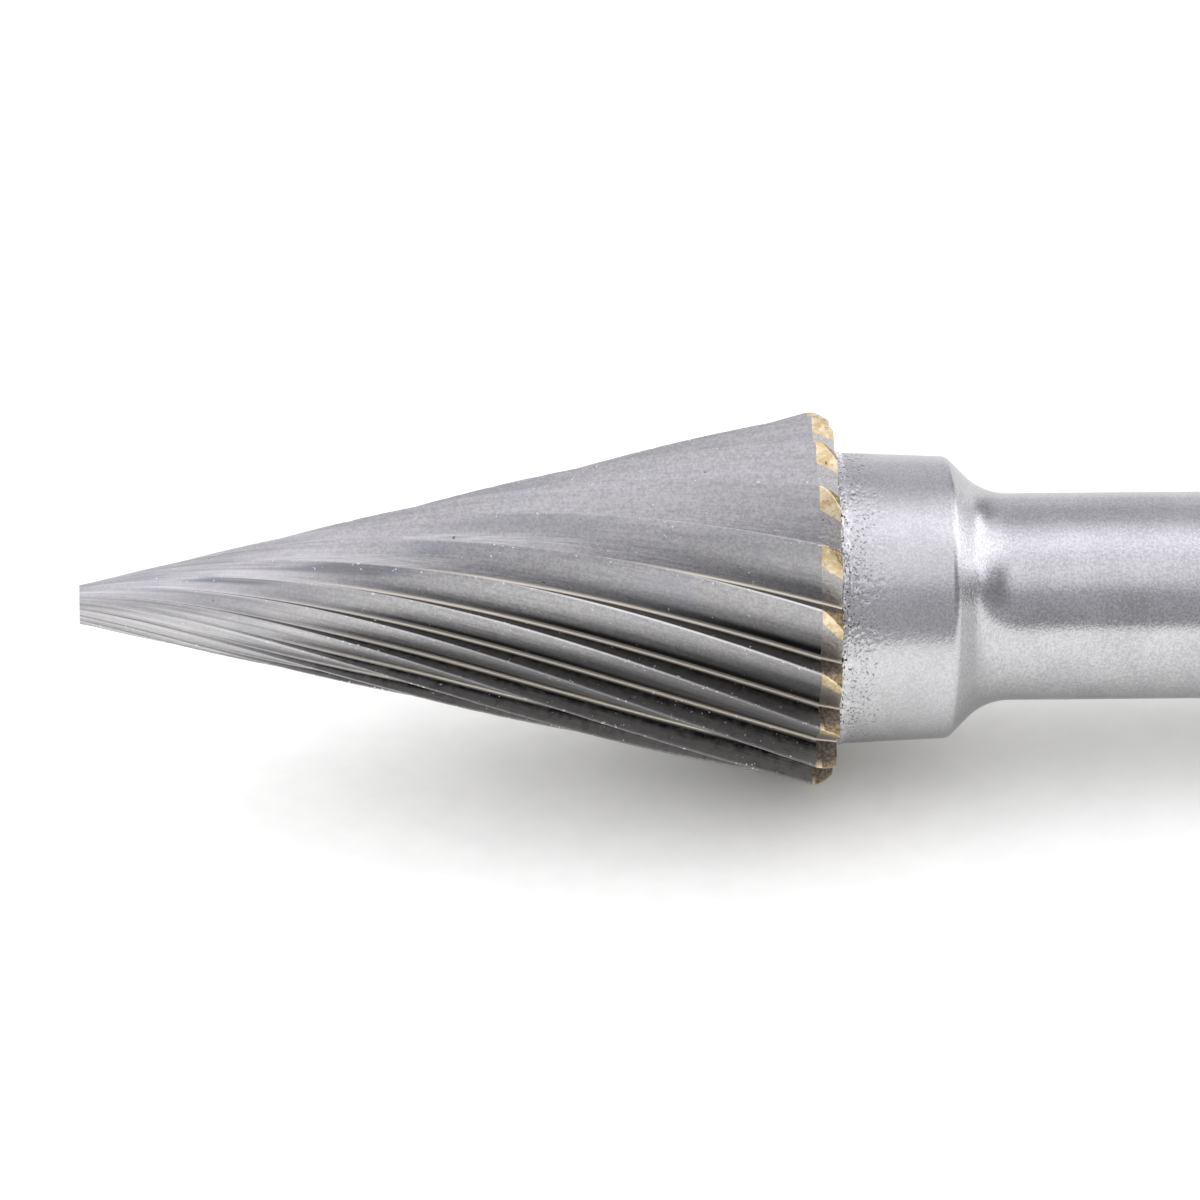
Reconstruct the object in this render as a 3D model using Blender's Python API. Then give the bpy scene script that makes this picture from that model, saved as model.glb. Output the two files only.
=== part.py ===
"""Cone-shaped rotary burr: fluted carbide head, interlayer disc, solder bead
and one-piece turned steel shank.

Metres, +Z up.  The burr's axis is the X axis.  The origin is the centre of the
shank's flat rear end, +X points out of that end and the tip points to -X.
"""

import math

import bmesh
import bpy

MM = 0.001

# ---------------------------------------------------------------- dimensions
SHANK_DIAMETER = 6.00 * MM        # standard collet size
SHANK_TOTAL_LENGTH = 45.00 * MM   # collar front face to shank end
SHANK_END_CHAMFER = 0.50 * MM

COLLAR_FRONT_DIAMETER = 8.42 * MM
COLLAR_REAR_DIAMETER = 8.16 * MM
COLLAR_LENGTH = 3.345 * MM
COLLAR_FRONT_BREAK = 0.26 * MM    # chamfer at the front face, filled with solder
NECK_RADIUS = 1.75 * MM           # hollow radius between collar and shank

HEAD_DIAMETER = 10.86 * MM        # over the cutting edges at the wide end
HEAD_LENGTH = 21.09 * MM          # carbide only
CONE_HALF_ANGLE = math.radians(13.0)

SHIM_THICKNESS = 0.59 * MM
SHIM_FRONT_DIAMETER = 10.82 * MM  # its lands sit a little under the edges
SHIM_REAR_DIAMETER = 10.66 * MM
SHIM_REAR_ROUND = 0.10 * MM

SOLDER_WIDTH = 0.34 * MM          # bead along the collar
SOLDER_HEIGHT = 0.040 * MM        # bead above the collar

JOINT_GAP = 0.010 * MM            # soldered faces, kept just apart

# ------------------------------------------------------------------- flutes
TEETH = 18
PITCH = 2.0 * math.pi / TEETH
EDGE_PHASE = math.radians(32.30)  # one cutting edge at the wide end, from -Y to +Z
SPIRAL_RATE = 1.323               # turn per unit of ln(radius) at the wide end
SPIRAL_EASE = 0.437               # the spiral straightens towards the tip

FLUTE_DEPTH = 0.161               # of the local radius
ROOT_SHARE = 0.924                # share of the pitch taken by the flank
FLANK_TILTS = ((0.00, 31.0), (0.40, 30.5), (0.55, 29.0),
               (0.75, 22.0), (1.00, 13.0))  # along the flank, degrees

# ------------------------------------------------------------- tessellation
ROUND_STEPS = 64
NECK_STEPS = 8
HEAD_STATIONS = 18
FLANK_STOPS = (0.0, 0.20, 0.40, 0.54, 0.67, 0.79, 0.91, 1.0)
FLANK_SLICES = 120


def tilt_at(along):
    """Tilt of the flank at a share of its length, between the stated tilts."""
    for (start, low), (end, high) in zip(FLANK_TILTS, FLANK_TILTS[1:]):
        if along <= end:
            return low + (high - low) * (along - start) / (end - start)
    return FLANK_TILTS[-1][1]


def flank_fall(along):
    """Fall of the flank from its cutting edge, summed from its tilts."""
    slices = max(1, round(FLANK_SLICES * along))
    width = along / slices
    return sum(math.tan(math.radians(tilt_at((i + 0.5) * width))) * width for i in range(slices))


def tooth_outline():
    """Flank of one tooth as (share of the pitch, share of the radius).

    It runs from one cutting edge down to the root.  The straight rake face
    from the root up to the next cutting edge closes it.
    """
    whole = flank_fall(1.0)
    return [(ROOT_SHARE * along, 1.0 - FLUTE_DEPTH * flank_fall(along) / whole)
            for along in FLANK_STOPS]


TOOTH = tooth_outline()


def spiral_turn(radius):
    """Turn of the flutes at a cutting radius, zero at the wide end."""
    ratio = radius / (HEAD_DIAMETER / 2)
    return SPIRAL_RATE * (ratio ** SPIRAL_EASE - 1.0) / SPIRAL_EASE


def fluted_ring(x, radius, turn, top=1.0):
    """One ring of a fluted body: the teeth of a radius, cut off at top."""
    points = []
    for tooth in range(TEETH):
        for share, height in TOOTH:
            angle = EDGE_PHASE - turn - (tooth + share) * PITCH
            r = radius * min(height, top)
            points.append((x, -r * math.cos(angle), r * math.sin(angle)))
    return points


def round_ring(x, radius):
    """One plain ring around the axis, in the same sense as a fluted one."""
    points = []
    for step in range(ROUND_STEPS):
        angle = -2.0 * math.pi * step / ROUND_STEPS
        points.append((x, -radius * math.cos(angle), radius * math.sin(angle)))
    return points


def skin(name, rings, material, closed_loop=False, smooth_angle=30.0):
    """Bridge a row of equal rings into one closed body."""
    bm = bmesh.new()
    loops = [[bm.verts.new(p) for p in ring] for ring in rings]
    count = len(loops[0])
    pairs = list(zip(loops, loops[1:]))
    if closed_loop:
        pairs.append((loops[-1], loops[0]))
    for near, far in pairs:
        for i in range(count):
            j = (i + 1) % count
            bm.faces.new((near[i], near[j], far[j], far[i]))
    if not closed_loop:
        bm.faces.new(loops[0])
        bm.faces.new(loops[-1])
    bmesh.ops.recalc_face_normals(bm, faces=bm.faces)
    bmesh.ops.triangulate(bm, faces=bm.faces)
    mesh = bpy.data.meshes.new(name)
    bm.to_mesh(mesh)
    bm.free()
    mesh.shade_smooth()
    mesh.set_sharp_from_angle(angle=math.radians(smooth_angle))
    mesh.materials.append(material)
    piece = bpy.data.objects.new(name, mesh)
    bpy.context.collection.objects.link(piece)
    return piece


def metal(name, colour, roughness):
    material = bpy.data.materials.new(name)
    material.use_nodes = True
    shader = material.node_tree.nodes["Principled BSDF"]
    shader.inputs["Base Color"].default_value = (*colour, 1.0)
    shader.inputs["Metallic"].default_value = 1.0
    shader.inputs["Roughness"].default_value = roughness
    return material


def make_head(material):
    """Fluted carbide cone.  Its local origin is the centre of its rear face."""
    base = HEAD_DIAMETER / 2
    tip = base - HEAD_LENGTH * math.tan(CONE_HALF_ANGLE)
    rings = []
    for step in range(HEAD_STATIONS + 1):
        # Even steps of the spiral, so that each facet turns by the same amount.
        share = step / HEAD_STATIONS
        ratio = 1.0 - share * (1.0 - (tip / base) ** SPIRAL_EASE)
        radius = base * ratio ** (1.0 / SPIRAL_EASE)
        x = -(base - radius) / math.tan(CONE_HALF_ANGLE)
        rings.append(fluted_ring(x, radius, spiral_turn(radius)))
    return skin("carbide_head", rings, material, smooth_angle=35.0)


def make_shim(material):
    """Interlayer disc with the same flutes ground through it.

    Its local origin is the centre of its rear face.
    """
    base = HEAD_DIAMETER / 2
    lead = SPIRAL_RATE * math.tan(CONE_HALF_ANGLE) / base
    front = SHIM_FRONT_DIAMETER / 2
    rear = SHIM_REAR_DIAMETER / 2
    stops = (
        (0.0, rear - SHIM_REAR_ROUND),
        (0.3 * SHIM_REAR_ROUND, rear - 0.3 * SHIM_REAR_ROUND),
        (SHIM_REAR_ROUND, rear),
        (SHIM_THICKNESS, front),
    )
    rings = []
    for from_rear, land in stops:
        turn = lead * (SHIM_THICKNESS - from_rear)
        rings.append(fluted_ring(-from_rear, base, turn, land / base))
    return skin("braze_shim", rings, material, smooth_angle=25.0)


def make_solder(material):
    """Thin bead that fills the chamfer around the front end of the collar.

    Its local origin is on the axis, in the plane of the bead's front.
    """
    collar = COLLAR_FRONT_DIAMETER / 2
    gap = 2.0 * JOINT_GAP
    outline = (
        (0.0, collar - COLLAR_FRONT_BREAK + gap),
        (0.0, collar + 0.6 * SOLDER_HEIGHT),
        (0.25 * SOLDER_WIDTH, collar + SOLDER_HEIGHT),
        (0.70 * SOLDER_WIDTH, collar + SOLDER_HEIGHT),
        (SOLDER_WIDTH, collar + JOINT_GAP),
        (COLLAR_FRONT_BREAK - JOINT_GAP, collar + JOINT_GAP),
    )
    rings = [round_ring(x, r) for x, r in outline]
    return skin("solder_fillet", rings, material, closed_loop=True)


def make_shank(material):
    """Collar, chamfer, neck radius and shank, turned from one bar.

    Its local origin is the centre of its rear end face.
    """
    shank = SHANK_DIAMETER / 2
    front = COLLAR_FRONT_DIAMETER / 2
    rear = COLLAR_REAR_DIAMETER / 2
    face = -SHANK_TOTAL_LENGTH
    outline = [
        (face, front - COLLAR_FRONT_BREAK),
        (face + COLLAR_FRONT_BREAK, front),
        (face + COLLAR_LENGTH, rear),
    ]
    # A 45 degree chamfer runs from the collar into the hollow neck radius.
    drop = NECK_RADIUS * (1.0 - math.cos(math.pi / 4))
    chamfer = rear - shank - drop
    neck_start = face + COLLAR_LENGTH + chamfer
    neck_end = neck_start + NECK_RADIUS * math.sin(math.pi / 4)
    for step in range(NECK_STEPS + 1):
        angle = math.pi / 4 * (1.0 - step / NECK_STEPS)
        outline.append((neck_end - NECK_RADIUS * math.sin(angle),
                        shank + NECK_RADIUS * (1.0 - math.cos(angle))))
    outline += [
        (-SHANK_END_CHAMFER, shank),
        (0.0, shank - SHANK_END_CHAMFER),
    ]
    rings = [round_ring(x, r) for x, r in outline]
    return skin("steel_shank", rings, material, smooth_angle=20.0)


def main():
    for old in list(bpy.data.objects):
        bpy.data.objects.remove(old, do_unlink=True)

    carbide = metal("ground_carbide", (0.42, 0.41, 0.40), 0.28)
    gold = metal("gold_braze", (0.86, 0.66, 0.34), 0.30)
    silver = metal("silver_solder", (0.82, 0.82, 0.82), 0.35)
    steel = metal("satin_steel", (0.62, 0.62, 0.64), 0.33)

    burr = bpy.data.objects.new("burr", None)
    bpy.context.collection.objects.link(burr)

    collar_face = -SHANK_TOTAL_LENGTH
    shim_rear = collar_face - JOINT_GAP
    head_rear = shim_rear - SHIM_THICKNESS - JOINT_GAP

    placed = (
        (make_shank(steel), 0.0),
        (make_solder(silver), collar_face),
        (make_shim(gold), shim_rear),
        (make_head(carbide), head_rear),
    )
    for piece, x in placed:
        piece.parent = burr
        piece.location = (x, 0.0, 0.0)


main()
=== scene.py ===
"""Looks of the cone-shaped rotary burr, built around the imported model.

Metres, +Z up.  The burr's axis is X and the tip points to -X.
"""

import math

import bmesh
import bpy
import numpy as np
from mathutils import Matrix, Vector, noise


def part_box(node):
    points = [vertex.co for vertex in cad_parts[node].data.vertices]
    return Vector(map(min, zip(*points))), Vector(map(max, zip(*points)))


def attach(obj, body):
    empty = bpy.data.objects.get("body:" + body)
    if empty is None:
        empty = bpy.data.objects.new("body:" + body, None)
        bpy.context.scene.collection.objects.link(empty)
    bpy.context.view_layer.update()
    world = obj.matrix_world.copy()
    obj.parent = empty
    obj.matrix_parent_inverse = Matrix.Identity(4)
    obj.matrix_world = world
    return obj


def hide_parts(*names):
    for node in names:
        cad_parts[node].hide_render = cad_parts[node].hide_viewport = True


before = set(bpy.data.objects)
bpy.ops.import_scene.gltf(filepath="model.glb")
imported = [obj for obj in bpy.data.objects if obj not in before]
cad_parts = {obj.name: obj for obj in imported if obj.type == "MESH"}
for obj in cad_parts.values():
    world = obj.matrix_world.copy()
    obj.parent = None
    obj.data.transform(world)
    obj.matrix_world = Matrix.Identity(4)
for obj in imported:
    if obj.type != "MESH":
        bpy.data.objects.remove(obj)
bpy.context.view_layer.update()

MM = 0.001

# --------------------------------------------------------------- head outline
HEAD_RADIUS = 5.43 * MM           # over the cutting edges at the wide end
CONE_SLOPE = math.tan(math.radians(13.0))
TEETH = 18
PITCH = 2.0 * math.pi / TEETH
EDGE_PHASE = math.radians(32.30)
SPIRAL_RATE = 1.323
SPIRAL_EASE = 0.437

FLUTE_DEPTH = 0.161               # of the local radius
ROOT_SHARE = 0.924                # where the flank ends, as a share of the pitch
FLANK_TILTS = ((0.00, 31.0), (0.40, 30.5), (0.55, 29.0),
               (0.75, 22.0), (1.00, 13.0))
EDGE_ROUND = 0.0053               # of the local radius
ROOT_RUN = 0.066                  # root round along the flank, of the pitch
ROOT_RISE = 0.016                 # root round up the rake face, of the radius

# ------------------------------------------------------------- shank outline
SHANK_RADIUS = 3.00 * MM
SHANK_END_CHAMFER = 0.50 * MM
COLLAR_FRONT_RADIUS = 4.21 * MM
COLLAR_REAR_RADIUS = 4.08 * MM
COLLAR_LENGTH = 3.345 * MM
COLLAR_FRONT_BREAK = 0.26 * MM
NECK_RADIUS = 1.75 * MM

HEAD_LOW, HEAD_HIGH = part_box("carbide_head")
SHIM_LOW, SHIM_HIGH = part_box("braze_shim")
BEAD_LOW, BEAD_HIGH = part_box("solder_fillet")
SHANK_LOW, SHANK_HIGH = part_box("steel_shank")


# ------------------------------------------------------------------- helpers
def step(low, high, value):
    """Smooth step from 0 at low to 1 at high."""
    t = np.clip((value - low) / (high - low), 0.0, 1.0)
    return t * t * (3.0 - 2.0 * t)


def wobble(x, y, z=0.0):
    """Smooth noise in about -1 to 1."""
    return noise.noise(Vector((x, y, z)))


def bezier(a, b, c, count):
    """Points of a quadratic curve from a to c, drawn towards b."""
    points = []
    for i in range(count):
        t = i / (count - 1)
        points.append(tuple((1 - t) ** 2 * p + 2 * t * (1 - t) * q + t * t * r
                            for p, q, r in zip(a, b, c)))
    return points


def make_flank_table():
    """Height of the flank over its length, falling from 1 to 1 - FLUTE_DEPTH."""
    t = np.linspace(0.0, 1.0, 241)
    tilt = np.interp(t, [p[0] for p in FLANK_TILTS], [p[1] for p in FLANK_TILTS])
    slope = np.tan(np.radians(tilt))
    slope = np.convolve(np.pad(slope, 8, mode="edge"), np.ones(17) / 17, "valid")
    fall = np.concatenate([[0.0], np.cumsum((slope[1:] + slope[:-1]) / 2)])
    return t * ROOT_SHARE, 1.0 - FLUTE_DEPTH * fall / fall[-1]


FLANK_SHARES, FLANK_HEIGHTS = make_flank_table()


def flank(share):
    return float(np.interp(share, FLANK_SHARES, FLANK_HEIGHTS))


def rake(height):
    """Share of the pitch at which the next tooth's rake face has a height."""
    return ROOT_SHARE + (1.0 - ROOT_SHARE) * (height - (1.0 - FLUTE_DEPTH)) / FLUTE_DEPTH


def tooth_outline(scale=1.0):
    """One tooth as (share, height): rounded edge, flank, root round, rake.

    The rounds keep their own size along the cone, so they take a larger share
    of the thinner teeth: scale says how much larger.
    """
    cut = 1.28 * min(EDGE_ROUND * scale, 0.014)
    run = min(ROOT_RUN * scale, 0.19)
    rise = min(ROOT_RISE * scale, 0.040)
    land = cut / PITCH
    low = 1.0 - cut
    points = bezier((rake(low) - 1.0, low), (0.0, 1.0), (land, flank(land)), 5)
    end = ROOT_SHARE - run
    for t in np.linspace(0.0, 1.0, 13)[1:-1]:
        share = land + (end - land) * (0.62 * t + 0.38 * t * t)
        points.append((share, flank(share)))
    root = (ROOT_SHARE, 1.0 - FLUTE_DEPTH)
    up = 1.0 - FLUTE_DEPTH + rise
    points += bezier((end, flank(end)), root, (rake(up), up), 7)
    for t in (0.34, 0.68):
        height = up + (low - up) * t
        points.append((rake(height), height))
    return points


OUTLINE = tooth_outline()
EDGE_POINTS = 5
FLANK_POINTS = 11
ROOT_POINTS = 7


def outline_lie():
    """Where each outline point lies along one tooth: 0 and 1 are the edges."""
    shares = np.array([p[0] for p in OUTLINE] + [1.0])
    heights = np.array([p[1] for p in OUTLINE] + [OUTLINE[2][1]])
    run = np.concatenate([[0.0], np.cumsum(np.hypot(np.diff(shares) * PITCH, np.diff(heights)))])
    return list((run - run[2]) / (run[-1] - run[2]))[:-1]


LIE = outline_lie()
LIE_ROOT = LIE[EDGE_POINTS + FLANK_POINTS]
LIE_WALL = LIE[EDGE_POINTS + FLANK_POINTS + ROOT_POINTS - 1]


def spiral_turn(radius):
    ratio = radius / HEAD_RADIUS
    return SPIRAL_RATE * (ratio ** SPIRAL_EASE - 1.0) / SPIRAL_EASE


def around(x, radius, angle):
    return (x, -radius * math.cos(angle), radius * math.sin(angle))


def close_grid(name, rings, caps=True, loop=False, maps=None, smooth_angle=50.0):
    """A closed body from equal rings of points, with its own maps.

    maps gives per ring and point the (u, v) of the named map; a closing column
    is added to each, so that no map runs backwards over the seam.
    """
    rows, cols = len(rings), len(rings[0])
    points = [p for ring in rings for p in ring]
    faces, corners = [], []
    pairs = [(i, i + 1) for i in range(rows - 1)]
    if loop:
        pairs.append((rows - 1, 0))
    for a, b in pairs:
        for i in range(cols):
            j = (i + 1) % cols
            faces.append((a * cols + i, a * cols + j, b * cols + j, b * cols + i))
            corners.append(((a, i), (a, i + 1), (b if b else rows, i + 1), (b if b else rows, i)))
    if caps and not loop:
        for row in (0, rows - 1):
            centre = tuple(np.mean(np.array(rings[row]), axis=0))
            points.append(centre)
            for i in range(cols):
                j = (i + 1) % cols
                faces.append((len(points) - 1, row * cols + i, row * cols + j))
                corners.append(((row, i), (row, i), (row, i + 1)))
    mesh = bpy.data.meshes.new(name)
    mesh.from_pydata(points, [], faces)
    for key, grid in (maps or {}).items():
        layer = mesh.uv_layers.new(name=key, do_init=False)
        grid = np.asarray(grid, float)
        flat = np.array([grid[r % grid.shape[0] if not loop else r, c] for face in corners for r, c in face])
        layer.uv.foreach_set("vector", flat.astype(np.float32).ravel())
    work = bmesh.new()
    work.from_mesh(mesh)
    bmesh.ops.recalc_face_normals(work, faces=work.faces)
    work.to_mesh(mesh)
    work.free()
    mesh.shade_smooth()
    mesh.set_sharp_from_angle(angle=math.radians(smooth_angle))
    piece = bpy.data.objects.new(name, mesh)
    bpy.context.scene.collection.objects.link(piece)
    return piece


def unit_map(rows, cols, wrap_rows=False):
    """A plain map: once around in u, end to end in v."""
    last = rows if wrap_rows else rows - 1
    return [[(0.004 + 0.992 * c / cols, 0.004 + 0.992 * r / last) for c in range(cols + 1)]
            for r in range(last + 1)]


# ------------------------------------------------------------------ materials
class Graph:
    """Short way to write a material's nodes."""

    def __init__(self, name):
        self.material = bpy.data.materials.new(name)
        self.material.use_nodes = True
        self.tree = self.material.node_tree
        self.shader = self.tree.nodes["Principled BSDF"]

    def put(self, node, key, value):
        socket = node.inputs[key]
        if isinstance(value, bpy.types.NodeSocket):
            self.tree.links.new(value, socket)
        else:
            socket.default_value = value

    def node(self, kind, inputs=None, **settings):
        node = self.tree.nodes.new(kind)
        for key, value in settings.items():
            setattr(node, key, value)
        for key, value in (inputs or {}).items():
            self.put(node, key, value)
        return node

    def math(self, operation, a, b=0.0, c=0.0, clamp=False):
        node = self.node("ShaderNodeMath", {0: a, 1: b, 2: c}, operation=operation)
        node.use_clamp = clamp
        return node.outputs[0]

    def ramp(self, value, low, high, to_low=0.0, to_high=1.0):
        node = self.node("ShaderNodeMapRange",
                         {"Value": value, "From Min": low, "From Max": high,
                          "To Min": to_low, "To Max": to_high},
                         interpolation_type="SMOOTHSTEP")
        return node.outputs["Result"]

    def mix(self, factor, a, b):
        node = self.node("ShaderNodeMix", data_type="RGBA")
        sockets = [s for s in node.inputs if s.type == "RGBA"]
        for socket, value in ((node.inputs[0], factor), (sockets[0], a), (sockets[1], b)):
            if isinstance(value, bpy.types.NodeSocket):
                self.tree.links.new(value, socket)
            else:
                socket.default_value = value
        return [s for s in node.outputs if s.type == "RGBA"][0]

    def noise(self, vector, scale, detail=2.0, roughness=0.5):
        node = self.node("ShaderNodeTexNoise",
                         {"Vector": vector, "Scale": scale, "Detail": detail, "Roughness": roughness})
        return node.outputs["Fac"]

    def cells(self, vector, scale):
        return self.node("ShaderNodeTexVoronoi", {"Vector": vector, "Scale": scale})

    def scaled(self, vector, x, y, z):
        node = self.node("ShaderNodeMapping", {"Vector": vector, "Scale": (x, y, z)})
        return node.outputs["Vector"]

    def bump(self, height, strength, distance, normal=None):
        inputs = {"Height": height, "Strength": strength, "Distance": distance}
        if normal is not None:
            inputs["Normal"] = normal
        return self.node("ShaderNodeBump", inputs).outputs["Normal"]

    def surface(self, **inputs):
        for key, value in inputs.items():
            self.put(self.shader, key.replace("_", " "), value)
        return self.material


def grey(value, blue=1.0):
    return (value, value, value * blue, 1.0)


def carbide_material():
    g = Graph("ground_carbide")
    place = g.node("ShaderNodeTexCoord").outputs["Object"]
    lie = g.node("ShaderNodeUVMap", uv_map="flute").outputs["UV"]
    along = g.node("ShaderNodeSeparateXYZ", {0: lie})
    share = g.math("FRACT", along.outputs["Y"])
    mm = along.outputs["X"]

    fine = g.noise(g.scaled(lie, 0.90, 52.0, 1.0), 1.0, 3.0, 0.62)
    broad = g.noise(g.scaled(lie, 0.16, 9.0, 1.0), 1.0, 2.0, 0.55)
    grain = g.noise(place, 15000.0, 2.0, 0.6)
    cloud = g.noise(place, 420.0, 2.0, 0.5)
    mottle = g.noise(place, 4300.0, 2.0, 0.6)
    grit = g.noise(place, 9800.0, 2.0, 0.6)

    # The rake faces are rough and dark, the flanks are finely ground.
    wall = g.math("MULTIPLY", g.ramp(share, LIE_WALL - 0.012, LIE_WALL + 0.03),
                  g.math("SUBTRACT", 1.0, g.ramp(share, 0.965, 0.985)))
    wall = g.math("MULTIPLY", wall, g.ramp(mm, 3.2, 8.2, 0.25, 1.0))
    root = g.math("MULTIPLY", g.ramp(share, LIE_ROOT - 0.02, LIE_ROOT + 0.02),
                  g.math("SUBTRACT", 1.0, g.ramp(share, LIE_WALL - 0.02, LIE_WALL + 0.02)))

    root = g.math("MULTIPLY", root, g.ramp(mm, 4.0, 11.0, 0.10, 1.0))

    tone = g.math("ADD", g.math("MULTIPLY", fine, 0.32), g.math("MULTIPLY", broad, 0.28))
    tone = g.math("ADD", tone, g.math("MULTIPLY", grain, 0.40))
    tone = g.math("ADD", tone, g.math("MULTIPLY", g.math("SUBTRACT", mottle, 0.5), 0.22))
    tone = g.math("ADD", tone, g.math("MULTIPLY", g.math("SUBTRACT", grit, 0.5), 0.46))
    colour = g.mix(g.ramp(tone, 0.34, 0.66), (0.352, 0.346, 0.350, 1.0), (0.510, 0.502, 0.506, 1.0))
    # Towards the tip the ground surface is lighter.
    colour = g.mix(g.ramp(mm, 3.0, 10.5, 0.50, 0.0), colour, (0.600, 0.592, 0.600, 1.0))
    tint = g.ramp(cloud, 0.56, 0.72, 0.0, 0.38)
    colour = g.mix(tint, colour, (0.36, 0.38, 0.43, 1.0))
    # Streaks run along the thin end, where the flutes are shallow: painted highlights and painted shade laid at
    # random along the flutes.
    streak = g.noise(g.scaled(lie, 0.13, 2.8, 1.0), 1.0, 2.0, 0.6)
    streak_shade = g.math("MULTIPLY", g.ramp(streak, 0.49, 0.35), g.ramp(mm, 9.0, 5.0, 0.10, 0.55))
    colour = g.mix(streak_shade, colour, (0.285, 0.280, 0.288, 1.0))
    pale = g.math("MULTIPLY", g.ramp(streak, 0.52, 0.66), g.ramp(mm, 9.0, 5.0, 0.05, 0.45))
    colour = g.mix(pale, colour, (0.760, 0.750, 0.758, 1.0))
    # On the upper side painted shade with a bluish heat tint lies behind the edges, and a painted highlight
    # band before them, most of all a third of the way from the tip.
    spot = g.node("ShaderNodeSeparateXYZ", {0: place})
    turn = g.math("ARCTAN2", spot.outputs["Z"], g.math("MULTIPLY", spot.outputs["Y"], -1.0))
    heat_stain_and_shade = g.math("MULTIPLY", g.ramp(turn, 0.86, 1.00), g.ramp(turn, 1.25, 1.14))
    heat_stain_and_shade = g.math("MULTIPLY", heat_stain_and_shade, g.math("MULTIPLY", g.ramp(mm, 1.2, 4.0), g.ramp(mm, 11.0, 8.0)))
    other = g.math("MULTIPLY", g.ramp(turn, 1.04, 1.20), g.ramp(turn, 1.60, 1.44))
    other = g.math("MULTIPLY", other, g.math("MULTIPLY", g.ramp(mm, 8.6, 10.4), g.ramp(mm, 16.5, 13.0, 0.0, 0.45)))
    heat_stain_and_shade = g.math("MULTIPLY", g.math("ADD", heat_stain_and_shade, other),
                   g.math("MULTIPLY", g.ramp(share, 0.002, 0.020), g.ramp(share, 0.46, 0.18)))
    blue = g.mix(g.ramp(cloud, 0.42, 0.60), (0.225, 0.226, 0.234, 1.0), (0.190, 0.208, 0.262, 1.0))
    colour = g.mix(g.math("MULTIPLY", heat_stain_and_shade, g.ramp(broad, 0.30, 0.62, 0.62, 0.88)), colour, blue)
    # Painted highlight: a lighter band on the upper flanks just before each edge.
    band = g.math("MULTIPLY", g.ramp(turn, 0.98, 1.12), g.ramp(turn, 1.58, 1.42))
    band = g.math("MULTIPLY", band, g.math("MULTIPLY", g.ramp(share, 0.33, 0.47), g.ramp(share, 0.80, 0.70)))
    band = g.math("MULTIPLY", band, g.math("MULTIPLY", g.ramp(mm, 2.0, 4.5), g.ramp(mm, 15.5, 12.5)))
    colour = g.mix(g.math("MULTIPLY", band, g.ramp(fine, 0.40, 0.62, 0.16, 0.66)), colour,
                   (0.690, 0.684, 0.684, 1.0))
    # Painted shade: the flanks turned down are darker, most of all towards the wide end.
    under = g.ramp(turn, -2.8, -1.6)              # fades out again round the back
    low = g.math("MULTIPLY", g.ramp(turn, 0.34, 0.06, 0.0, 0.42), g.ramp(mm, 7.0, 12.0))
    low = g.math("MULTIPLY", low, under)
    colour = g.mix(low, colour, (0.120, 0.118, 0.116, 1.0))
    # Painted highlight: the root round is a light warm cream along each root.
    colour = g.mix(root, colour, (0.64, 0.60, 0.52, 1.0))
    # Painted shade lies in the corner just before the root, on the side turned down.
    corner = g.math("MULTIPLY", g.ramp(share, LIE_ROOT - 0.17, LIE_ROOT - 0.055),
                    g.math("SUBTRACT", 1.0, g.ramp(share, LIE_ROOT - 0.018, LIE_ROOT + 0.002)))
    corner = g.math("MULTIPLY", corner, g.ramp(mm, 5.0, 12.0, 0.0, 0.95))
    corner = g.math("MULTIPLY", corner, g.math("MULTIPLY", g.ramp(turn, 0.66, 0.36), under))
    colour = g.mix(corner, colour, (0.030, 0.029, 0.028, 1.0))
    # Painted shade darkens the rake walls towards the root, and painted light makes the walls turned down lighter.
    gullet_shade = g.ramp(share, LIE_WALL, LIE_WALL + 0.60 * (1.0 - LIE_WALL))
    gullet_shade = g.math("ADD", gullet_shade, g.math("MULTIPLY", g.math("SUBTRACT", fine, 0.5), 1.1))
    gullet_shade = g.math("ADD", gullet_shade, g.math("MULTIPLY", g.math("SUBTRACT", mottle, 0.5), 1.3), clamp=True)
    lit_lower_wall = g.mix(g.math("MULTIPLY", g.ramp(turn, 0.15, -0.35), under), (0.124, 0.119, 0.111, 1.0), (0.200, 0.194, 0.184, 1.0))
    colour = g.mix(wall, colour, g.mix(gullet_shade, (0.020, 0.019, 0.018, 1.0), lit_lower_wall))
    # Painted highlight along the cutting edges on the front side, weaker over the top and towards the tip.
    edge_highlight = g.math("SUBTRACT", 1.0, g.ramp(g.math("PINGPONG", share, 0.5), 0.008, 0.024))
    edge_highlight = g.math("MULTIPLY", edge_highlight, g.ramp(turn, 0.86, 0.58, 0.06, 1.0))
    edge_highlight = g.math("MULTIPLY", edge_highlight, g.ramp(turn, -0.10, 0.50, 0.0, 1.0))
    edge_highlight = g.math("MULTIPLY", edge_highlight, g.ramp(mm, 8.0, 16.0, 0.28, 1.0))
    colour = g.mix(edge_highlight, colour, (0.80, 0.79, 0.775, 1.0))

    # Specks of dust and of chipped carbide, mostly close to the cutting edges.
    near_edge = g.math("SUBTRACT", 1.0, g.ramp(g.math("PINGPONG", share, 0.5), 0.0, 0.10))
    patch = g.noise(place, 900.0, 1.0, 0.5)
    speck = g.noise(place, 8800.0, 1.5, 0.6)
    speck = g.math("ADD", speck, g.math("MULTIPLY", near_edge, 0.075))
    speck = g.math("ADD", speck, g.math("MULTIPLY", patch, 0.16))
    dust = g.ramp(speck, 0.798, 0.862)
    deep = g.noise(place, 5200.0, 1.0, 0.5)
    hole = g.ramp(deep, 0.205, 0.165)

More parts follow.
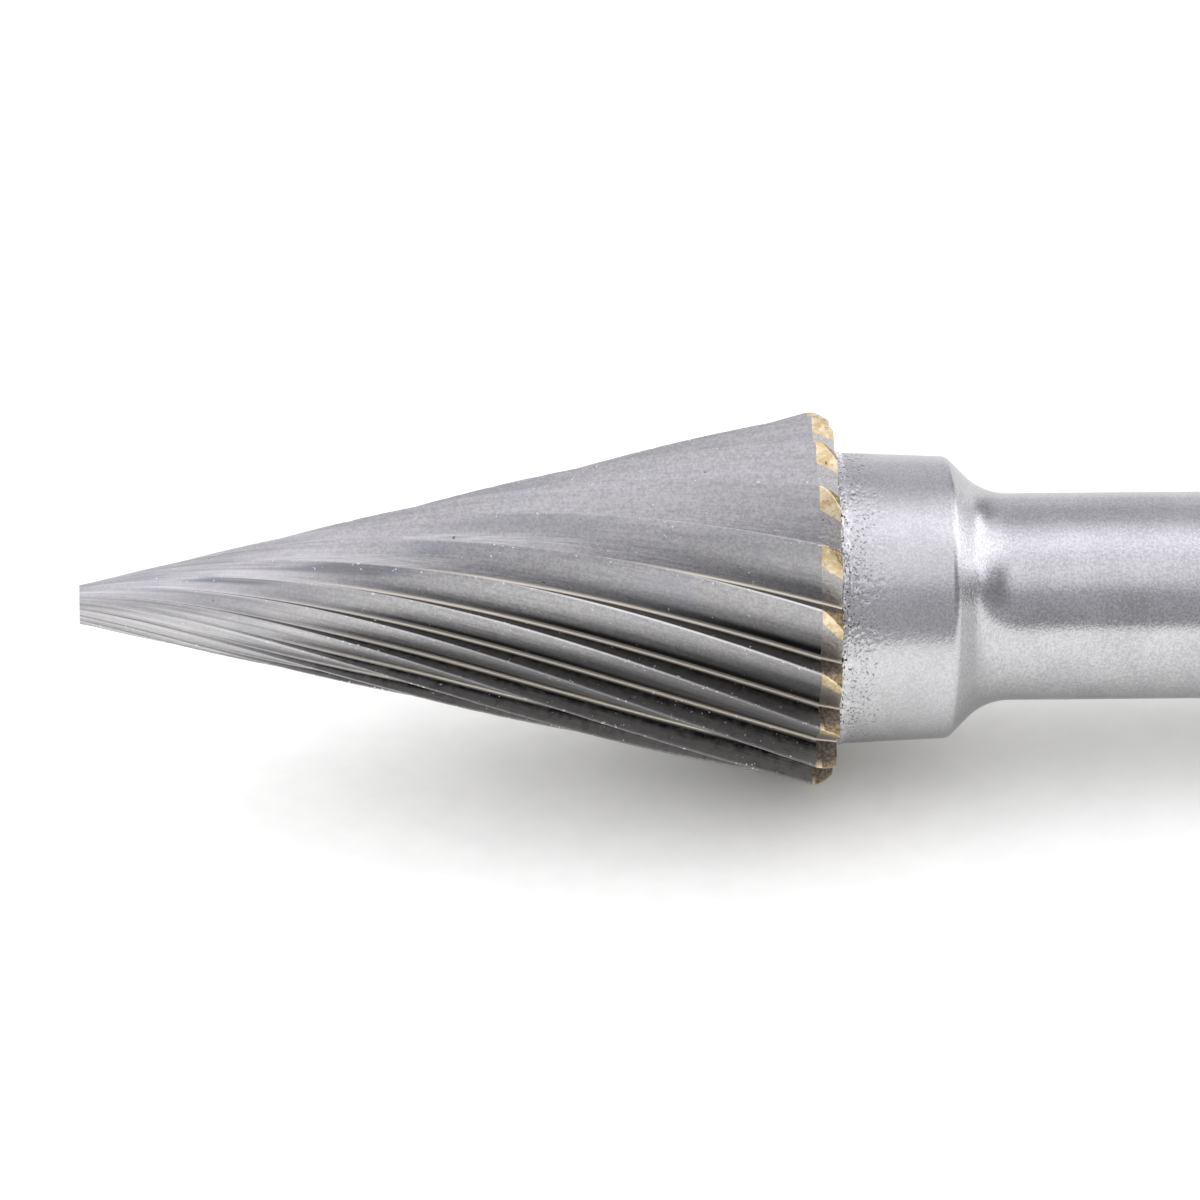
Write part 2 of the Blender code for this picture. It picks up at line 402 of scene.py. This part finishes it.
    # Smears of braze on the last of the edges, next to the interlayer.
    smear = g.noise(place, 2600.0, 1.0, 0.5)
    reach = g.math("ADD", 21.01, g.math("MULTIPLY", smear, 0.20))
    reach = g.math("SUBTRACT", reach, g.math("MULTIPLY", near_edge, 0.06))
    gilded = g.ramp(mm, reach, g.math("ADD", reach, 0.05))

    colour = g.mix(dust, colour, (0.85, 0.85, 0.86, 1.0))
    colour = g.mix(g.math("MULTIPLY", hole, 0.75), colour, (0.10, 0.10, 0.10, 1.0))
    colour = g.mix(g.math("MULTIPLY", gilded, 0.8), colour, (0.72, 0.57, 0.33, 1.0))

    rough = g.math("ADD", g.math("MULTIPLY", broad, 0.14), g.math("MULTIPLY", grain, 0.10))
    rough = g.math("ADD", rough, 0.31)
    rough = g.math("ADD", rough, g.math("MULTIPLY", dust, 0.20))
    rough = g.math("ADD", rough, g.math("MULTIPLY", wall, 0.16))

    normal = g.bump(fine, 0.27, 0.000012)
    normal = g.bump(broad, 0.22, 0.00003, normal)
    normal = g.bump(grain, 0.40, 0.000012, normal)
    normal = g.bump(grit, 0.16, 0.00002, normal)
    normal = g.bump(g.math("SUBTRACT", dust, hole), 0.5, 0.00002, normal)
    return g.surface(Base_Color=colour, Metallic=1.0, Roughness=rough, Normal=normal)


def gold_material():
    g = Graph("gold_braze")
    place = g.node("ShaderNodeTexCoord").outputs["Object"]
    lie = g.node("ShaderNodeUVMap", uv_map="flute").outputs["UV"]
    mask = g.node("ShaderNodeUVMap", uv_map="land").outputs["UV"]
    land = g.node("ShaderNodeSeparateXYZ", {0: mask}).outputs["X"]
    wall = g.node("ShaderNodeSeparateXYZ", {0: mask}).outputs["Y"]
    grain = g.noise(place, 15000.0, 2.0, 0.6)
    cloud = g.noise(place, 2900.0, 2.0, 0.5)
    blot = g.noise(place, 8200.0, 2.0, 0.55)
    streak = g.noise(g.scaled(lie, 0.90, 52.0, 1.0), 1.0, 3.0, 0.62)
    deep = g.noise(place, 6800.0, 1.0, 0.5)
    hole = g.ramp(deep, 0.29, 0.25)

    bright = g.mix(g.ramp(cloud, 0.35, 0.65), (0.66, 0.51, 0.28, 1.0), (0.87, 0.75, 0.53, 1.0))
    bright = g.mix(g.ramp(blot, 0.52, 0.70, 0.0, 0.58), bright, (0.50, 0.35, 0.16, 1.0))
    bright = g.mix(g.ramp(blot, 0.44, 0.30, 0.0, 0.48), bright, (0.95, 0.88, 0.70, 1.0))
    tone = g.math("ADD", g.math("MULTIPLY", streak, 0.30), g.math("MULTIPLY", grain, 0.70))
    ground = g.mix(g.ramp(tone, 0.36, 0.64), (0.400, 0.390, 0.382, 1.0), (0.570, 0.555, 0.542, 1.0))
    ground = g.mix(g.ramp(blot, 0.60, 0.72, 0.0, 0.5), ground, (0.50, 0.43, 0.32, 1.0))
    share = g.math("FRACT", g.node("ShaderNodeSeparateXYZ", {0: lie}).outputs["Y"])
    # Painted highlight: the root round is a light cream along each root.
    root = g.math("MULTIPLY", g.ramp(share, ROOT_SHARE - ROOT_RUN - 0.004, ROOT_SHARE - ROOT_RUN + 0.016),
                  g.math("SUBTRACT", 1.0, g.ramp(share, ROOT_SHARE - 0.010, ROOT_SHARE + 0.006)))
    ground = g.mix(root, ground, (0.68, 0.62, 0.51, 1.0))
    speckle = g.math("ADD", g.math("MULTIPLY", blot, 0.5), g.math("MULTIPLY", grain, 0.5))
    rough_wall = g.mix(g.ramp(speckle, 0.38, 0.62), (0.225, 0.190, 0.145, 1.0), (0.105, 0.090, 0.072, 1.0))
    ground = g.mix(wall, ground, rough_wall)
    # The ground corner of a land is painted a darker gold, as painted shade.
    corner = g.mix(g.ramp(speckle, 0.38, 0.62), (0.430, 0.325, 0.190, 1.0), (0.185, 0.135, 0.080, 1.0))
    bright = g.mix(wall, bright, corner)
    colour = g.mix(land, ground, bright)
    colour = g.mix(g.math("MULTIPLY", hole, 0.8), colour, (0.16, 0.11, 0.05, 1.0))
    rough = g.math("ADD", 0.30, g.math("MULTIPLY", grain, 0.20))
    rough = g.math("ADD", rough, g.math("MULTIPLY", wall, 0.12))
    normal = g.bump(grain, 0.26, 0.000012)
    normal = g.bump(blot, 0.42, 0.00003, normal)
    normal = g.bump(g.math("SUBTRACT", 1.0, hole), 0.5, 0.00002, normal)
    return g.surface(Base_Color=colour, Metallic=1.0, Roughness=rough, Normal=normal)


def solder_material():
    g = Graph("silver_solder")
    place = g.node("ShaderNodeTexCoord").outputs["Object"]
    grain = g.noise(place, 10500.0, 3.0, 0.6)
    cloud = g.noise(place, 3600.0, 2.0, 0.6)
    deep = g.noise(place, 8500.0, 1.0, 0.5)
    hole = g.ramp(deep, 0.37, 0.30)
    colour = g.mix(g.ramp(cloud, 0.36, 0.64), (0.48, 0.48, 0.49, 1.0), (0.66, 0.66, 0.67, 1.0))
    colour = g.mix(hole, colour, (0.10, 0.10, 0.10, 1.0))
    rough = g.math("ADD", 0.11, g.math("MULTIPLY", grain, 0.12))
    normal = g.bump(grain, 0.55, 0.00003)
    normal = g.bump(g.math("SUBTRACT", 1.0, hole), 0.5, 0.00002, normal)
    return g.surface(Base_Color=colour, Metallic=1.0, Roughness=rough, Normal=normal)


def steel_material():
    g = Graph("satin_steel")
    place = g.node("ShaderNodeTexCoord").outputs["Object"]
    lie = g.node("ShaderNodeUVMap", uv_map="turned").outputs["UV"]
    x = g.node("ShaderNodeSeparateXYZ", {0: place}).outputs["X"]
    collar = g.math("SUBTRACT", 1.0, g.ramp(x, -0.0420, -0.0412))
    front = g.math("SUBTRACT", 1.0, g.ramp(x, -0.0445, -0.0430))

    grain = g.noise(place, 17000.0, 2.0, 0.6)
    grit = g.noise(place, 10500.0, 2.0, 0.6)
    dimple = g.noise(place, 6500.0, 1.5, 0.5)
    cloud = g.noise(place, 700.0, 2.0, 0.5)
    lines = g.noise(g.scaled(lie, 1.2, 26.0, 1.0), 1.0, 2.0, 0.6)

    tone = g.math("ADD", g.math("MULTIPLY", grain, 0.60), g.math("MULTIPLY", cloud, 0.25))
    tone = g.math("ADD", tone, g.math("MULTIPLY", lines, 0.15))
    tone = g.math("ADD", tone, g.math("MULTIPLY", g.math("SUBTRACT", grit, 0.5), 0.42))
    colour = g.mix(g.ramp(tone, 0.36, 0.64), (0.428, 0.427, 0.439, 1.0), (0.594, 0.592, 0.604, 1.0))
    colour = g.mix(g.math("MULTIPLY", collar, 0.22), colour, (0.630, 0.628, 0.640, 1.0))
    # Small pits with dark floors, close together beside the bead.
    spots = g.noise(place, 11500.0, 1.5, 0.5)
    spots = g.math("ADD", spots, g.math("MULTIPLY", g.math("SUBTRACT", front, 1.0), 0.22))
    pit = g.ramp(spots, 0.575, 0.655)
    colour = g.mix(g.math("MULTIPLY", pit, 0.82), colour, (0.20, 0.20, 0.21, 1.0))
    rough = g.math("ADD", g.math("MULTIPLY", grain, 0.14), 0.11)
    rough = g.math("ADD", rough, g.math("MULTIPLY", collar, 0.06))

    normal = g.bump(grain, 0.26, 0.000014)
    normal = g.bump(grit, 0.15, 0.00002, normal)
    normal = g.bump(lines, 0.10, 0.00001, normal)
    strength = g.math("ADD", g.math("MULTIPLY", collar, 0.10), g.math("MULTIPLY", front, 0.45))
    deep = g.node("ShaderNodeBump", {"Height": dimple, "Strength": strength,
                                     "Distance": 0.00003, "Normal": normal}).outputs["Normal"]
    deep = g.bump(g.math("SUBTRACT", 1.0, pit), 0.35, 0.00002, deep)
    return g.surface(Base_Color=colour, Metallic=1.0, Roughness=rough, Normal=deep,
                     Specular_Tint=(0.72, 0.72, 0.73, 1.0))


# --------------------------------------------------------------------- pieces
def fade(radius, tooth):
    """How deep the flutes still are: they run out towards the tip."""
    kept = 0.34 if tooth % 2 else 0.24
    return kept + (1.0 - kept) * float(step(1.10 * MM, 2.95 * MM, radius))


def chip(tooth, mm):
    """How far the cutting edge is worn back, in metres."""
    small = max(0.0, wobble(mm * 5.3, tooth * 3.7, 1.0) - 0.10)
    big = max(0.0, wobble(mm * 2.1, tooth * 5.1, 7.0) - 0.42)
    return (0.016 * small + 0.045 * big) * MM


def make_head(material):
    stations = 203
    rear, tip = HEAD_HIGH.x, HEAD_LOW.x
    length = rear - tip
    rings, lie = [], []
    for row in range(stations):
        share = row / (stations - 1)
        back = length * (1.0 - share)                # from the wide end
        radius = HEAD_RADIUS - back * CONE_SLOPE
        turn = spiral_turn(radius)
        x = rear - back
        mm = (length - back) / MM
        ring, line = [], []
        outline = tooth_outline(HEAD_RADIUS / radius)
        for tooth in range(TEETH):
            kept = fade(radius, tooth)
            worn = chip(tooth, mm) * min(1.0, radius / (2.0 * MM))
            for index, (part, height) in enumerate(outline):
                r = radius * (1.0 - (1.0 - height) * kept)
                if index < EDGE_POINTS + 1:
                    r -= worn * (1.0 if index < EDGE_POINTS else 0.5)
                angle = EDGE_PHASE - turn - (tooth + part) * PITCH
                ring.append(around(x, r, angle))
                line.append((mm, tooth + LIE[index]))
        line.append((mm, TEETH + LIE[0]))
        rings.append(ring)
        lie.append(line)
    # Rings across the tip's flat end.
    nose = [[(x, y * inset, z * inset) for x, y, z in rings[0]] for inset in (0.45, 0.80, 0.93)]
    rings = nose + rings
    lie = [lie[0]] * len(nose) + lie
    cols = len(rings[0])
    head = close_grid("burr_head", rings, maps={"flute": lie, "OFBake": unit_map(len(rings), cols)},
                      smooth_angle=58.0)
    head.data.materials.append(material)
    return head


def slimness(tooth):
    """The lands of the first three teeth start narrower."""
    return max(0.0, 1.0 - 0.35 * tooth)


def land_points(tooth, w, end):
    """Points across one land as (share, height, gold, dark), edge to foot.

    w runs front to rear.  The land's rear corner at the edge is ground away
    behind a ridge that runs from the edge down to the foot.
    """
    start = (0.27 + 0.30 * wobble(tooth * 1.7, 4.3)) * (1.0 - 0.75 * slimness(tooth))
    power = 1.20 + 0.60 * wobble(tooth * 2.9, 8.1) * (1.0 - slimness(tooth)) - 0.30 * slimness(tooth)
    ridge = 0.045 + 0.53 * max(0.0, (w - start) / (1.0 - start)) ** power
    top = 1.0 - 0.011 * w * w
    foot = flank(end) - 0.0010
    points = []
    for q in ([ridge * t for t in (0.0, 0.25, 0.50, 0.75, 0.90, 1.0)]
              + [ridge + (1.0 - ridge) * t for t in (0.05, 0.12, 0.25, 0.40, 0.55, 0.70, 0.85, 1.0)]):
        behind = ridge - q
        fall = 0.5 * (behind + math.hypot(behind, 0.05)) - 0.025
        height = top + (foot - top) * q - 0.80 * end * PITCH * max(fall, -0.012)
        points.append((end * q, height, 1.0, 1.0 if behind > 0.04 and w > start else 0.0))
    return points


def make_shim(material):
    """Interlayer: ground flutes, and on each tooth a gold land."""
    stations, slope = 25, 8
    front, rear = SHIM_LOW.x - 0.009 * MM, SHIM_HIGH.x
    lead = SPIRAL_RATE * CONE_SLOPE / HEAD_RADIUS
    last = ROOT_SHARE - ROOT_RUN
    low = OUTLINE[EDGE_POINTS + FLANK_POINTS:]
    rings, lie, masks = [], [], []
    for row in range(stations):
        w = row / (stations - 1)
        x = front + (rear - front) * w
        turn = lead * (x - front)
        ring, line, mask = [], [], []
        for tooth in range(TEETH):
            end = 0.305 + 0.115 * w + 0.022 * wobble(tooth * 2.3, w * 4.0, 3.0)
            end += slimness(tooth) * (0.15 * w - 0.115)
            points = land_points(tooth, w, end)
            begin = end + 0.012
            for i in range(slope + 1):
                share = begin + (last - begin) * i / (slope + 1)
                points.append((share, flank(share), 0.0, 0.0))
            top = points[0][1]
            for i, (share, height) in enumerate(low):
                points.append((share, min(height, top - 0.004 * (len(low) - i)), 0.0, 0.0 if i < 5 else 1.0))
            for part, height, gold, dark in points:
                angle = EDGE_PHASE - turn - (tooth + part) * PITCH
                ring.append(around(x, HEAD_RADIUS * height, angle))
                line.append((21.1 + (x - front) / MM, tooth + part))
                mask.append((gold, dark))
        line.append((21.1 + (x - front) / MM, float(TEETH)))
        mask.append(mask[0])
        rings.append(ring)
        lie.append(line)
        masks.append(mask)
    cols = len(rings[0])
    shim = close_grid("braze_interlayer", rings, smooth_angle=24.0,
                      maps={"flute": lie, "land": masks, "OFBake": unit_map(len(rings), cols)})
    shim.data.materials.append(material)
    return shim


def bead_height(t):
    """Outline of the bead over the collar, front to rear: one flat band."""
    flat = float(step(0.0, 0.14, np.array(t)) * (1.0 - step(0.66, 1.0, np.array(t))))
    return 0.034 * flat + 0.004 * math.sin(math.pi * t)


def make_bead(material):
    """Solder bead: a lumpy, pitted ring in the chamfer of the collar."""
    steps, sides = 840, 25
    front, rear = BEAD_LOW.x, BEAD_HIGH.x
    rings = []
    for side in range(sides):
        t = side / (sides - 1)
        ring = []
        for i in range(steps):
            a = 2.0 * math.pi * i / steps
            c, s = math.cos(a) * 4.2, math.sin(a) * 4.2
            lump = wobble(c * 1.1, s * 1.1, 2.0)
            crumb = wobble(c * 4.2, s * 4.2, 5.0 + 3.0 * t)
            pit = max(0.0, wobble(c * 10.5, s * 10.5, 9.0 + 5.0 * t) - 0.10)
            pit += 1.4 * max(0.0, wobble(c * 7.0, s * 7.0, 31.0 + 3.0 * t) - 0.34)
            wide = (rear - front) * (0.90 + 0.08 * lump + 0.04 * crumb)
            high = bead_height(t) * (1.0 + 0.22 * lump + 0.12 * crumb)
            high -= 0.085 * pit * (1.0 if t < 0.34 else 0.45) * math.sin(math.pi * t) ** 0.5
            # Never below the chamfer and the collar that carry it.
            x = wide * t
            seat = -max(0.0, COLLAR_FRONT_BREAK - x) / MM + 0.016
            if t > 0.98:
                high = seat
            ring.append(around(front + x, COLLAR_FRONT_RADIUS + max(seat, high) * MM, a))
        rings.append(ring)
    # The ring closes along the chamfer.
    for t in (0.75, 0.45, 0.18):
        ring = []
        for i in range(steps):
            a = 2.0 * math.pi * i / steps
            x = (rings[sides - 1][i][0] - front) * t
            seat = -max(0.0, COLLAR_FRONT_BREAK - x) + 0.008 * MM
            ring.append(around(front + x, COLLAR_FRONT_RADIUS + seat, a))
        rings.append(ring)
    ring = [around(front, COLLAR_FRONT_RADIUS - COLLAR_FRONT_BREAK + 0.010 * MM, 2.0 * math.pi * i / steps)
            for i in range(steps)]
    rings.append(ring)
    bead = close_grid("solder_bead", rings, loop=True,
                      maps={"OFBake": unit_map(len(rings), steps, True)}, smooth_angle=70.0)
    bead.data.materials.append(material)
    return bead


def shank_outline():
    """Turned outline of collar, chamfer, neck, shank and end, as (x, radius)."""
    face = SHANK_LOW.x
    outline = [(face, 0.35 * COLLAR_FRONT_RADIUS), (face, 0.70 * COLLAR_FRONT_RADIUS),
               (face, COLLAR_FRONT_RADIUS - COLLAR_FRONT_BREAK)]
    for t in (0.35, 0.70, 1.0):
        outline.append((face + COLLAR_FRONT_BREAK * t, COLLAR_FRONT_RADIUS - COLLAR_FRONT_BREAK * (1.0 - t)))
    rear_x = face + COLLAR_LENGTH
    drop = NECK_RADIUS * (1.0 - math.cos(math.pi / 4))
    chamfer = COLLAR_REAR_RADIUS - SHANK_RADIUS - drop
    neck_start = rear_x + chamfer
    neck_end = neck_start + NECK_RADIUS * math.sin(math.pi / 4)
    ease = 0.13 * MM
    start = face + COLLAR_FRONT_BREAK
    for t in np.linspace(0.0, 1.0, 84)[1:]:
        x = start + (rear_x - ease - start) * t
        share = (x - start) / (rear_x - start)
        outline.append((x, COLLAR_FRONT_RADIUS + (COLLAR_REAR_RADIUS - COLLAR_FRONT_RADIUS) * share))
    corner = (rear_x, COLLAR_REAR_RADIUS)
    outline += bezier(outline[-1], corner,
                      (rear_x + 0.7 * ease, COLLAR_REAR_RADIUS - 0.7 * ease), 8)[1:]
    for t in np.linspace(0.0, 1.0, 7)[1:-1]:
        x = outline[0][0] + COLLAR_LENGTH + 0.7 * ease + (chamfer - 0.7 * ease) * t
        outline.append((x, COLLAR_REAR_RADIUS - (x - rear_x)))
    for i in range(19):
        a = math.pi / 4 * (1.0 - i / 18)
        outline.append((neck_end - NECK_RADIUS * math.sin(a),
                        SHANK_RADIUS + NECK_RADIUS * (1.0 - math.cos(a))))
    end = SHANK_HIGH.x
    for t in np.linspace(0.0, 1.0, 14)[1:]:
        outline.append((neck_end + (end - SHANK_END_CHAMFER - 0.05 * MM - neck_end) * t, SHANK_RADIUS))
    outline += bezier(outline[-1], (end - SHANK_END_CHAMFER, SHANK_RADIUS),
                      (end - SHANK_END_CHAMFER + 0.04 * MM, SHANK_RADIUS - 0.04 * MM), 4)[1:]
    outline += bezier((end - 0.04 * MM, SHANK_RADIUS - SHANK_END_CHAMFER + 0.04 * MM),
                      (end, SHANK_RADIUS - SHANK_END_CHAMFER),
                      (end, SHANK_RADIUS - SHANK_END_CHAMFER - 0.05 * MM), 4)
    outline += [(end, 1.7 * MM), (end, 0.9 * MM), (end, 0.3 * MM)]
    return outline


def make_shank(material):
    """Turned steel; the collar is finely dimpled, most of all beside the bead."""
    steps = 600
    outline = shank_outline()
    face = SHANK_LOW.x
    rings, lie = [], []
    for row, (x, radius) in enumerate(outline):
        mm = (x - face) / MM
        on_collar = 0.265 < mm < 3.20
        front = 1.0 - float(step(0.40, 1.55, np.array(mm)))
        groove = 0.018 * math.exp(-((mm - 0.37) / 0.030) ** 2)
        # The turning marks run on across the end face as rings.
        mark = mm + (max(0.0, SHANK_RADIUS - radius) / MM if mm > 44.0 else 0.0)
        ring, line = [], []
        for i in range(steps):
            a = 2.0 * math.pi * i / steps
            r = radius
            if on_collar:
                c, s = math.cos(a) * 4.2, math.sin(a) * 4.2
                dimple = max(0.0, wobble(mm * 9.5, c * 9.5, s * 9.5) - 0.05)
                dent = wobble(mm * 2.6, c * 2.6, s * 2.6)
                r -= ((0.003 + 0.030 * front) * dimple + 0.0022 * (dent + 0.6)) * MM
                r -= groove * (0.6 + 0.8 * wobble(c * 3.1, s * 3.1, 17.0)) * MM
            ring.append(around(x, r, -a))
            line.append((i / steps * 12.0, mark))
        line.append((12.0, mark))
        rings.append(ring)
        lie.append(line)
    shank = close_grid("shank_steel", rings, maps={"turned": lie, "OFBake": unit_map(len(rings), steps)},
                       smooth_angle=38.0)
    shank.data.materials.append(material)
    return shank


# ---------------------------------------------------------------- floor, light
FLOOR_TILT = math.radians(3.08)


def make_floor():
    """Pale floor under the head's rim and the shank's end."""
    g = Graph("pale_floor")
    place = g.node("ShaderNodeTexCoord").outputs["Object"]
    speckle = g.noise(place, 900.0, 3.0, 0.6)
    colour = g.mix(g.ramp(speckle, 0.3, 0.7), grey(0.90, 0.955), grey(0.93, 0.955))
    g.surface(Base_Color=colour, Roughness=0.9)
    half = 1.6
    mesh = bpy.data.meshes.new("floor")
    along = Vector((math.cos(FLOOR_TILT), 0.0, math.sin(FLOOR_TILT)))
    under = Vector((HEAD_HIGH.x, 0.0, -HEAD_RADIUS - 0.02 * MM))
    side = Vector((0.0, 1.0, 0.0))
    corners = [under + along * (half * a) + side * (half * b) for a, b in ((-1, -1), (1, -1), (1, 1), (-1, 1))]
    mesh.from_pydata([tuple(c) for c in corners], [], [(0, 1, 2, 3)])
    mesh.materials.append(g.material)
    floor = bpy.data.objects.new("floor", mesh)
    bpy.context.scene.collection.objects.link(floor)


def make_light():
    """Soft studio light: a broad softbox overhead, dim room in front."""
    world = bpy.data.worlds.new("studio")
    bpy.context.scene.world = world
    world.use_nodes = True
    tree = world.node_tree
    tree.nodes.clear()

    def add(kind, **settings):
        node = tree.nodes.new(kind)
        for key, value in settings.items():
            setattr(node, key, value)
        return node

    def join(a, b):
        tree.links.new(a, b)

    way = add("ShaderNodeTexCoord")
    split = add("ShaderNodeSeparateXYZ")
    join(way.outputs["Generated"], split.inputs[0])
    flip = add("ShaderNodeMath", operation="MULTIPLY")
    join(split.outputs["Y"], flip.inputs[0])
    flip.inputs[1].default_value = -1.0
    turn = add("ShaderNodeMath", operation="ARCTAN2")
    join(split.outputs["Z"], turn.inputs[0])
    join(flip.outputs[0], turn.inputs[1])
    share = add("ShaderNodeMath", operation="DIVIDE")
    join(turn.outputs[0], share.inputs[0])
    share.inputs[1].default_value = math.pi

    def arch(stops):
        """Brightness from the horizon in front, over the top, to the one behind."""
        node = add("ShaderNodeValToRGB")
        join(share.outputs[0], node.inputs[0])
        band = node.color_ramp
        band.interpolation = "EASE"
        while len(band.elements) > 1:
            band.elements.remove(band.elements[-1])
        for i, (angle, value) in enumerate(stops):
            spot = band.elements[0] if i == 0 else band.elements.new(angle / 180.0)
            spot.position = angle / 180.0
            spot.color = (value * 0.980, value * 0.974, value * 1.032, 1.0)
        return node.outputs["Color"]

    straight = arch(((0, 0.34), (18, 0.40), (38, 0.46), (49, 0.78), (58, 0.95), (80, 1.02),
                     (94, 1.26), (104, 1.23), (116, 0.95), (130, 0.60), (146, 0.56), (165, 0.76), (180, 0.85)))
    # Towards the tip's side white cards close the room.
    carded = arch(((0, 0.34), (8, 0.38), (16, 0.48), (24, 0.66), (40, 0.92), (52, 0.97), (64, 0.98),
                   (90, 1.01), (120, 0.98), (150, 0.94), (170, 0.78), (180, 0.60)))
    # Towards the shank's side the room is darker, under a brighter lamp.
    lamped = arch(((0, 0.50), (14, 0.42), (30, 0.30), (48, 0.26), (65, 0.42), (84, 1.10), (98, 1.50),
                   (114, 1.50), (130, 1.02), (147, 0.46), (162, 0.34), (180, 0.60)))
    # At the far end on that side the lamp reaches lower, round a dark middle.
    ended = arch(((0, 0.50), (14, 0.42), (30, 0.30), (48, 0.26), (65, 0.42), (84, 1.10), (98, 1.50),
                  (114, 1.55), (130, 1.62), (147, 1.80), (158, 1.80), (167, 1.15), (175, 0.50), (180, 0.42)))
    door = arch(((0, 0.28), (180, 0.28)))

    def blend(start, end, a, b):
        reach = add("ShaderNodeMapRange", interpolation_type="SMOOTHSTEP")
        join(split.outputs["X"], reach.inputs["Value"])
        reach.inputs["From Min"].default_value = start
        reach.inputs["From Max"].default_value = end
        node = add("ShaderNodeMix", data_type="RGBA")
        join(reach.outputs["Result"], node.inputs[0])
        sockets = [s for s in node.inputs if s.type == "RGBA"]
        join(a, sockets[0])
        join(b, sockets[1])
        return [s for s in node.outputs if s.type == "RGBA"][0]

    total = blend(-0.15, -0.40, straight, carded)
    total = blend(0.18, 0.60, total, lamped)
    total = blend(0.62, 0.76, total, ended)
    total = blend(0.960, 0.996, total, door)
    sky = add("ShaderNodeBackground")
    sky.inputs["Strength"].default_value = 1.25
    join(total, sky.inputs["Color"])
    out = add("ShaderNodeOutputWorld")
    join(sky.outputs[0], out.inputs["Surface"])

    # Lifts the floor from all sides without showing in the metal.
    data = bpy.data.lights.new("floor_fill", "SUN")
    data.angle = math.pi
    data.energy = 1.15
    fill = bpy.data.objects.new("floor_fill", data)
    fill.location = (0.0, 0.0, 1.0)
    fill.visible_glossy = False
    bpy.context.scene.collection.objects.link(fill)


# ---------------------------------------------------------------------- camera
def make_camera():
    elevation, yaw, roll = (math.radians(a) for a in (36.0, 3.0, 0.5))
    aim = Vector((-51.673 * MM, 0.0, 0.0))
    distance = 0.289

    right = Vector((math.cos(yaw), -math.sin(yaw), 0.0))
    ahead = Vector((math.sin(yaw), math.cos(yaw), 0.0))
    up = Vector((0.0, 0.0, 1.0))
    right, up = (right * math.cos(roll) - up * math.sin(roll),
                 up * math.cos(roll) + right * math.sin(roll))

    def tip_down(v):
        c, s = math.cos(elevation), math.sin(elevation)
        return Vector((v.x, v.y * c + v.z * s, v.z * c - v.y * s))

    right, up, ahead = tip_down(right), tip_down(up), tip_down(ahead)
    data = bpy.data.cameras.new("camera")
    data.lens = 300.0
    data.sensor_width = 36.0
    data.clip_start = 0.01
    data.clip_end = 20.0
    camera = bpy.data.objects.new("camera", data)
    bpy.context.scene.collection.objects.link(camera)
    from mathutils import Matrix
    place = Matrix((right, up, -ahead)).transposed().to_4x4()
    place.translation = aim - ahead * distance
    camera.matrix_world = place
    bpy.context.scene.camera = camera


# ------------------------------------------------------------------------ main
make_camera()
make_floor()
make_light()
bpy.context.scene.view_settings.view_transform = "Standard"

for build, node, slot, look in (
        (make_head, "carbide_head", "carbide", carbide_material),
        (make_shim, "braze_shim", "braze", gold_material),
        (make_bead, "solder_fillet", "solder", solder_material),
        (make_shank, "steel_shank", "steel", steel_material)):
    piece = build(look())
    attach(piece, "root")
    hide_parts(node)
